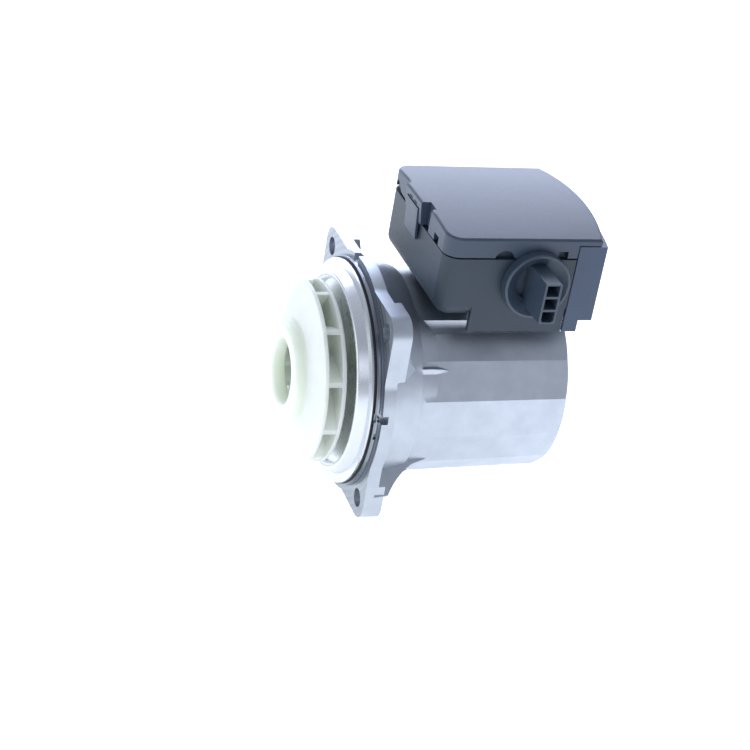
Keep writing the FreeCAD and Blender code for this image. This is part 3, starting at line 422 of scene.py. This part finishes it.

# %% [markdown]
# ## Rubber, ceramic and the board
#
# Seals are moulded EPDM, which is black and dull. The bearings and the shaft are ground alumina.
# The board is glass-fibre laminate under green solder resist, with tracks that show as slightly
# lighter lines. A Voronoi pattern with straight-edged cells is close to the look of routed copper.

# %% Rubber, ceramic, laminate and component cases
def make_circuit_board():
    material, tree, shader, coords = start_material(
        "fr4_green_solder_resist", "14532f", 0.0, 0.28, IOR=1.55, Coat_Weight=0.5)
    routes = add(tree, "ShaderNodeTexVoronoi",
                 {"feature": "DISTANCE_TO_EDGE", "Scale": per_metre(4.0)},
                 {"Vector": (coords, "Object")})
    vary_colour(tree, shader, (routes, "Distance"), "2a7a48", "12492a", 0.03, 0.06)
    weave = noise(tree, coords, 0.5, 2.0)
    raise_surface(tree, shader, (weave, "Fac"), 0.005)
    return material


epdm_rubber = make_moulded_plastic("moulded_epdm", "191a1c", "202124", 0.72, 0.4, 0.015)
silicone_pad = make_moulded_plastic("filled_silicone", "8c96a3", "97a1ad", 0.65, 0.5, 0.02)
alumina = make_moulded_plastic("ground_alumina", "e6e2d8", "efece4", 0.22, 0.4, 0.003)
capacitor_sleeve = make_moulded_plastic("shrunk_pvc_sleeve", "22304a", "283650", 0.3, 1.2, 0.01)
film_case = make_moulded_plastic("epoxy_filled_case", "c2a02c", "caa836", 0.34, 0.6, 0.01)
varnished_case = make_moulded_plastic("varnished_transformer", "2a2b2e", "333438", 0.4, 0.6, 0.02)
circuit_laminate = make_circuit_board()
print("materials so far:", len(bpy.data.materials))

# %% [markdown]
# ## Which node gets which finish
#
# One table says it for all forty nodes. Every node is painted first, so that nothing is left
# plain, and the outer ones are then given softened copies that stand for them.

# %% Finishes
FINISHES = {
    diecast_aluminium: ["stator_housing"],
    drawn_stainless: ["bearing_plate", "rotor_can", "rotor_sleeve"],
    spring_steel: ["plate_retaining_ring"],
    zinc_plate: ["box_screws", "board_screws"],
    tin_plate: ["winding_pins", "earth_strap", "socket_pins"],
    turned_brass: ["vent_plug"],
    sintered_ferrite: ["magnet_rotor", "filter_choke"],
    laminations: ["stator_core"],
    copper_winding: ["stator_coils"],
    lid_plastic: ["box_lid", "lid_latch"],
    tray_plastic_with_painted_shade: ["control_box_base"],
    cover_plastic: ["rear_cover"],
    socket_plastic: ["mains_socket"],
    frame_plastic: ["front_winding_frame", "rear_winding_frame"],
    chip_epoxy: ["power_module"],
    carbon: ["thrust_ring"],
    impeller_plastic: ["impeller"],
    epdm_rubber: ["can_seal", "casing_gasket", "vent_plug_seal", "box_seal", "thrust_ring_seat"],
    silicone_pad: ["thermal_pad"],
    alumina: ["front_bearing", "rear_bearing", "impeller_lock_cone", "rotor_shaft", "fuse"],
    capacitor_sleeve: ["bulk_capacitor"],
    film_case: ["film_capacitor"],
    varnished_case: ["transformer"],
    circuit_laminate: ["circuit_board"],
}
finish_of = {node: finish for finish, nodes in FINISHES.items() for node in nodes}
for node, finish in finish_of.items():
    frame["nodes"][node].data.materials.clear()
    frame["nodes"][node].data.materials.append(finish)
print("painted", len(finish_of), "of", len(frame["nodes"]))
body_of = {node: body for body, nodes in frame["record"]["behaviour"]["bodies"].items()
           for node in nodes}

# %% [markdown]
# ## Softened copies
#
# No moulded or cast edge is perfectly sharp: the tool is cut with a small radius, and that radius
# is what catches a line of light. A CAD node's mesh is loose triangles and is left alone. A copy
# is merged, its flat areas are made whole faces, and the Bevel modifier rounds each edge that
# turns by more than a set angle. Weighted normals keep the large faces flat beside the rounding.

# %% Select one object
def select_only(piece):
    """An operator acts on all that is selected, so everything else is deselected first."""
    bpy.ops.object.select_all(action="DESELECT")
    piece.select_set(True)
    bpy.context.view_layer.objects.active = piece


def apply_modifier(piece, kind, **settings):
    select_only(piece)
    modifier = piece.modifiers.new(kind.lower(), kind)
    for key, value in settings.items():
        setattr(modifier, key, value)
    bpy.ops.object.modifier_apply(modifier=modifier.name)


# %% Copy a node, and merge it
def merged_copy(node, name):
    """A copy of a CAD node's mesh as one skin, with whole flat faces."""
    piece = bpy.data.objects.new(name, frame["nodes"][node].data.copy())
    bpy.context.scene.collection.objects.link(piece)
    select_only(piece)
    bpy.ops.mesh.customdata_custom_splitnormals_clear()
    bpy.ops.object.mode_set(mode="EDIT")
    bpy.ops.mesh.select_all(action="SELECT")
    bpy.ops.mesh.remove_doubles(threshold=0.002 * MM)
    bpy.ops.mesh.dissolve_limited(angle_limit=math.radians(0.3))
    bpy.ops.object.mode_set(mode="OBJECT")
    return piece


def stand_for(piece, node):
    """The piece takes the node's place and body, and the node is hidden."""
    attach(piece, body_of[node])
    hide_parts(node)
    return piece


def soften(node, name, radius_mm, turn=32.0, steps=2):
    piece = merged_copy(node, name)
    apply_modifier(piece, "BEVEL", width=radius_mm * MM, segments=steps, limit_method="ANGLE",
                   angle_limit=math.radians(turn), use_clamp_overlap=True, miter_outer="MITER_ARC")
    select_only(piece)
    bpy.ops.object.shade_smooth_by_angle(angle=math.radians(38))
    apply_modifier(piece, "WEIGHTED_NORMAL", keep_sharp=True, weight=80)
    print(name, len(piece.data.polygons), "faces")
    return stand_for(piece, node)


# %% Soften the moulded and pressed pieces
SOFT_EDGES = {
    "stator_housing": ("cast_housing", 0.35),
    "impeller": ("moulded_impeller", 0.25),
    "box_lid": ("moulded_lid", 0.3),
    "lid_latch": ("snap_tongue", 0.15),
    "control_box_base": ("moulded_tray", 0.3),
    "rear_cover": ("moulded_rear_cover", 0.3),
    "mains_socket": ("moulded_inlet", 0.15),
    "bearing_plate": ("pressed_plate", 0.15),
    "vent_plug": ("turned_vent_plug", 0.2),
    "plate_retaining_ring": ("sprung_ring", 0.15),
    "casing_gasket": ("flat_gasket", 0.1),
    "socket_pins": ("contact_blades", 0.12),
    "fuse": ("ceramic_fuse", 0.1),
}
soft = {node: soften(node, name, radius_mm) for node, (name, radius_mm) in SOFT_EDGES.items()}

# %% [markdown]
# ## The lathe's finish on the flange
#
# Only the faces that seat in the pump are machined: the flange's front, the spigot's side and its
# step. They are picked out of the housing's copy by where they are and which way they face, and
# they get the turned finish. Everything else keeps the blasted skin of the casting.

# %% Machined faces of the flange
FLANGE_FACE_DEPTH = 0.3
SPIGOT_BEGINS = -0.02
SPIGOT_FROM_R = 40.0
SPIGOT_TO_R = 42.0


def machine_flange(housing):
    """The turned finish goes on the housing's faces that look at the pump, and on its spigot."""
    housing.data.materials.append(turned_aluminium)
    machined = 0
    for face in housing.data.polygons:
        centre = face.center / MM
        out = math.hypot(centre.y, centre.z)
        faces_pump = face.normal.x < -0.9 and centre.x < FLANGE_FACE_DEPTH
        on_spigot = centre.x < SPIGOT_BEGINS and SPIGOT_FROM_R < out < SPIGOT_TO_R
        if faces_pump or on_spigot:
            face.material_index = 1
            machined += 1
    return machined


print("machined faces:", machine_flange(soft["stator_housing"]))

# %% [markdown]
# ## Small pieces on the board
#
# With the lid open, the board needs its small parts. Each kind is modelled once, at the origin and
# in its real size, and is then copied to its places. A chip resistor is a block whose ends are
# plated. The controller is a flat epoxy package with a row of bent legs on each side. Solder
# stands round each winding pin as a small cone.

# %% Start, finish and place a new piece
def named(name, finish):
    """The object that an operator has just made gets its name and its finish."""
    piece = bpy.context.object
    piece.name = name
    piece.data.materials.append(finish)
    return piece


def stretched_box(name, finish, long, wide, high):
    """A box of these millimetres, standing on the origin, from a unit cube."""
    bpy.ops.object.select_all(action="DESELECT")
    bpy.ops.mesh.primitive_cube_add(size=1, location=(0, 0, 0))
    piece = named(name, finish)
    piece.data.transform(Matrix.Translation((0, 0, high / 2 * MM)) @ Matrix.Diagonal(
        (long * MM, wide * MM, high * MM, 1)))
    return piece


def copy_to(piece, places_mm, name, node):
    """Own copies of a piece at these places, joined into one object; the first one is used up."""
    copies = []
    for place, turn in places_mm:
        twin = bpy.data.objects.new(name, piece.data.copy())
        bpy.context.scene.collection.objects.link(twin)
        twin.data.transform(Matrix.Translation(Vector(place) * MM) @ Matrix.Rotation(turn, 4, "Z"))
        copies.append(twin)
    bpy.data.objects.remove(piece)
    bpy.ops.object.select_all(action="DESELECT")
    for twin in copies:
        twin.select_set(True)
    bpy.context.view_layer.objects.active = copies[0]
    if len(copies) > 1:
        bpy.ops.object.join()
    copies[0].name = name
    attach(copies[0], body_of[node])
    print(name, len(places_mm), "copies")
    return copies[0]


BOARD_TOP = 44.6

# %% Chip resistors
CHIP_LONG = 2.0
CHIP_WIDE = 1.25
CHIP_HIGH = 0.55
CHIP_BAND = 0.65               # from the chip's middle to where its plated end begins
CHIP_FIRST = (57.0, -18.0)
CHIP_STEP = (3.0, 2.4)
CHIP_COUNT = 14


def make_chip():
    """A ceramic block whose two end bands are marked off by planes and plated."""
    chip = stretched_box("chip", chip_epoxy, CHIP_LONG, CHIP_WIDE, CHIP_HIGH)
    select_only(chip)
    bpy.ops.object.mode_set(mode="EDIT")
    for x in (-CHIP_BAND, CHIP_BAND):
        bpy.ops.mesh.select_all(action="SELECT")
        bpy.ops.mesh.bisect(plane_co=(x * MM, 0, 0), plane_no=(1, 0, 0))
    bpy.ops.object.mode_set(mode="OBJECT")
    chip.data.materials.append(tin_plate)
    for face in chip.data.polygons:
        if abs(face.center.x) > CHIP_BAND * MM:
            face.material_index = 1
    apply_modifier(chip, "BEVEL", width=0.06 * MM, segments=2)
    return chip


chip_places = []
for k in range(CHIP_COUNT):
    x = CHIP_FIRST[0] + CHIP_STEP[0] * (k % 2)
    y = CHIP_FIRST[1] + CHIP_STEP[1] * (k // 2)
    chip_places.append(((x, y, BOARD_TOP), 0.0))
copy_to(make_chip(), chip_places, "chip_resistors", "circuit_board")


# %% The controller and its legs
CONTROLLER = (45.0, 0.6)
CONTROLLER_SIDE = 7.0
CONTROLLER_HIGH = 1.1
CONTROLLER_STANDS_OFF = 0.12
DIMPLE_R = 0.45
DIMPLE_DEPTH = 0.2
DIMPLE_AT = -2.5
LEGS_A_SIDE = 8
LEG_PITCH = 0.7
LEG_OUT = 4.1


def make_controller():
    """A flat package, rounded at its edges, with a round dimple that marks its first leg."""
    body = stretched_box(
        "controller", chip_epoxy, CONTROLLER_SIDE, CONTROLLER_SIDE, CONTROLLER_HIGH)
    apply_modifier(body, "BEVEL", width=0.2 * MM, segments=2)
    bpy.ops.object.select_all(action="DESELECT")
    bpy.ops.mesh.primitive_cylinder_add(
        vertices=24, radius=DIMPLE_R * MM, depth=DIMPLE_DEPTH * MM,
        location=(DIMPLE_AT * MM, DIMPLE_AT * MM, CONTROLLER_HIGH * MM))
    dimple = bpy.context.object
    apply_modifier(body, "BOOLEAN", operation="DIFFERENCE", object=dimple)
    bpy.data.objects.remove(dimple)
    return body


def make_leg():
    """A gull-wing leg: a foot, pulled up and then inwards by extruding its end face."""
    leg = stretched_box("leg", tin_plate, 0.5, 0.3, 0.15)
    select_only(leg)
    bpy.ops.object.mode_set(mode="EDIT")
    for shift in ((-0.1, 0, 0.45), (-0.35, 0, 0.1)):
        bpy.ops.mesh.select_all(action="DESELECT")
        bpy.ops.object.mode_set(mode="OBJECT")
        inner_end = min(leg.data.polygons, key=lambda face: face.center.x)
        inner_end.select = True
        bpy.ops.object.mode_set(mode="EDIT")
        bpy.ops.mesh.extrude_region_move(
            TRANSFORM_OT_translate={"value": tuple(part * MM for part in shift)})
    bpy.ops.object.mode_set(mode="OBJECT")
    return leg


controller_place = (*CONTROLLER, BOARD_TOP + CONTROLLER_STANDS_OFF)
copy_to(make_controller(), [(controller_place, 0.0)], "controller", "circuit_board")
leg_places = []
for side in range(4):
    turn = side * math.pi / 2
    for k in range(LEGS_A_SIDE):
        along = (k - (LEGS_A_SIDE - 1) / 2) * LEG_PITCH
        x = CONTROLLER[0] + LEG_OUT * math.cos(turn) - along * math.sin(turn)
        y = CONTROLLER[1] + LEG_OUT * math.sin(turn) + along * math.cos(turn)
        leg_places.append(((x, y, BOARD_TOP), turn))
copy_to(make_leg(), leg_places, "controller_legs", "winding_pins")


# %% Solder round the winding pins
PIN_X = 52.0
PIN_PITCH = 4.0
SOLDER_FOOT_R = 1.25
SOLDER_TOP_R = 0.62
SOLDER_HIGH = 0.9
SOLDER_WAIST = 0.35
SOLDER_PINCH = 0.82


def make_solder():
    """A cone pinched in at its waist, so that its side is hollow, as wetted solder is."""
    bpy.ops.object.select_all(action="DESELECT")
    bpy.ops.mesh.primitive_cone_add(
        vertices=24, radius1=SOLDER_FOOT_R * MM, radius2=SOLDER_TOP_R * MM, depth=SOLDER_HIGH * MM,
        location=(0, 0, 0))
    solder = named("solder", tin_plate)
    solder.data.transform(Matrix.Translation((0, 0, SOLDER_HIGH / 2 * MM)))
    select_only(solder)
    bpy.ops.object.mode_set(mode="EDIT")
    bpy.ops.mesh.select_all(action="SELECT")
    bpy.ops.mesh.bisect(plane_co=(0, 0, SOLDER_WAIST * MM), plane_no=(0, 0, 1))
    bpy.ops.object.mode_set(mode="OBJECT")
    for vertex in solder.data.vertices:
        if abs(vertex.co.z - SOLDER_WAIST * MM) < 0.01 * MM:
            vertex.co.x *= SOLDER_PINCH
            vertex.co.y *= SOLDER_PINCH
    select_only(solder)
    bpy.ops.object.shade_smooth_by_angle(angle=math.radians(50))
    return solder


pin_places = [((PIN_X, PIN_PITCH * k, BOARD_TOP), 0.0) for k in (-1, 0, 1)]
copy_to(make_solder(), pin_places, "pin_solder", "winding_pins")

# %% [markdown]
# ## Turns of the choke
#
# The choke is a ferrite ring with thick enamelled wire wound round it. The core and the tops of
# its turns are one node, so a softened copy of it stands in, and the faces that lie above the
# core's top get the wire's finish.

# %% Choke windings
CHOKE_HIGH = 7.0
CHOKE_TOP = BOARD_TOP + CHOKE_HIGH
choke = soften("filter_choke", "wound_choke", 0.3)
choke.data.materials.append(copper_winding)
wire_faces = [face for face in choke.data.polygons if face.center.z > (CHOKE_TOP + 0.02) * MM]
for face in wire_faces:
    face.material_index = 1
print("wire faces on the choke:", len(wire_faces))

# %% [markdown]
# ## The capacitor's bare top
#
# The sleeve of an electrolytic capacitor shrinks over its rim and leaves the aluminium top bare.
# Two shallow scores cross it, where it can open safely. The disc's edge is rounded, as it is
# where the can is turned over under the sleeve.

# %% Capacitor top
CAPACITOR = (30.0, -14.0)
CAPACITOR_HIGH = 17.0
BARE_TOP_R = 5.0
BARE_TOP_THICK = 0.3
SCORE = (7.0, 0.35, 0.2)       # length, width and height of the cutter


def make_capacitor_top():
    bpy.ops.object.select_all(action="DESELECT")
    bpy.ops.mesh.primitive_cylinder_add(
        vertices=64, radius=BARE_TOP_R * MM, depth=BARE_TOP_THICK * MM, location=(0, 0, 0))
    top = named("capacitor_top", turned_aluminium)
    apply_modifier(top, "BEVEL", width=0.12 * MM, segments=2, limit_method="ANGLE")
    for turn in (0, math.pi / 2):
        bpy.ops.object.select_all(action="DESELECT")
        bpy.ops.mesh.primitive_cube_add(size=1, location=(0, 0, 0))
        cutter = bpy.context.object
        to_top = Matrix.Translation((0, 0, BARE_TOP_THICK / 2 * MM))
        stretch = Matrix.Diagonal((*(side * MM for side in SCORE), 1))
        cutter.data.transform(to_top @ Matrix.Rotation(turn, 4, "Z") @ stretch)
        apply_modifier(top, "BOOLEAN", operation="DIFFERENCE", object=cutter)
        bpy.data.objects.remove(cutter)
    return top


# Most of the disc's lower half is sunk in the can, and its scores lie a little askew.
BARE_TOP_RISE = 0.05
top_place = (*CAPACITOR, BOARD_TOP + CAPACITOR_HIGH + BARE_TOP_RISE)
copy_to(make_capacitor_top(), [(top_place, 0.3)], "capacitor_top", "bulk_capacitor")

# %% [markdown]
# ## The pull loop of the sprung ring
#
# The ring that holds the bearing plate has a small loop of wire, so that pliers can pull it out. It
# stands in the notch at the near side of the flange. A circle is pulled straight for one leg, spun
# through half a turn for the bow, and pulled straight again for the other leg.

# %% Pull loop
LOOP_WIRE_R = 0.36
LOOP_BOW_R = 0.7
LOOP_LEG = 1.1
LOOP_ROOT_R = 41.1
LOOP_X = -1.0
NOTCH_ANGLE = math.radians(84)


def make_pull_loop():
    bpy.ops.object.select_all(action="DESELECT")
    bpy.ops.mesh.primitive_circle_add(
        vertices=14, radius=LOOP_WIRE_R * MM, fill_type="NGON", location=(0, 0, 0))
    loop = named("pull_loop", spring_steel)
    loop.data.transform(Matrix.Translation((LOOP_BOW_R * MM, 0, 0)))
    select_only(loop)
    bpy.ops.object.mode_set(mode="EDIT")
    bpy.ops.mesh.select_all(action="SELECT")
    bpy.ops.mesh.extrude_region_move(TRANSFORM_OT_translate={"value": (0, 0, LOOP_LEG * MM)})
    bpy.ops.mesh.spin(steps=12, angle=-math.pi, center=(0, 0, LOOP_LEG * MM), axis=(0, 1, 0))
    bpy.ops.mesh.extrude_region_move(TRANSFORM_OT_translate={"value": (0, 0, -LOOP_LEG * MM)})
    bpy.ops.mesh.select_all(action="SELECT")
    bpy.ops.mesh.normals_make_consistent(inside=False)
    bpy.ops.object.mode_set(mode="OBJECT")
    bpy.ops.object.shade_smooth_by_angle(angle=math.radians(50))
    return loop


loop = make_pull_loop()
# The loop's legs point outwards from the shaft, and its bow lies across the notch.
outwards = Vector((0, -math.sin(NOTCH_ANGLE), math.cos(NOTCH_ANGLE)))
across = Vector((0, math.cos(NOTCH_ANGLE), math.sin(NOTCH_ANGLE)))
stand = Matrix((across, Vector((1, 0, 0)), outwards)).transposed().to_4x4()
root = outwards * LOOP_ROOT_R * MM + Vector((LOOP_X * MM, 0, 0))
loop.data.transform(Matrix.Translation(root) @ stand)
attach(loop, body_of["plate_retaining_ring"])
loop_reach = max(vertex.co.yz.length for vertex in loop.data.vertices)
print("loop reaches", round(loop_reach / MM, 2), "mm from the shaft")
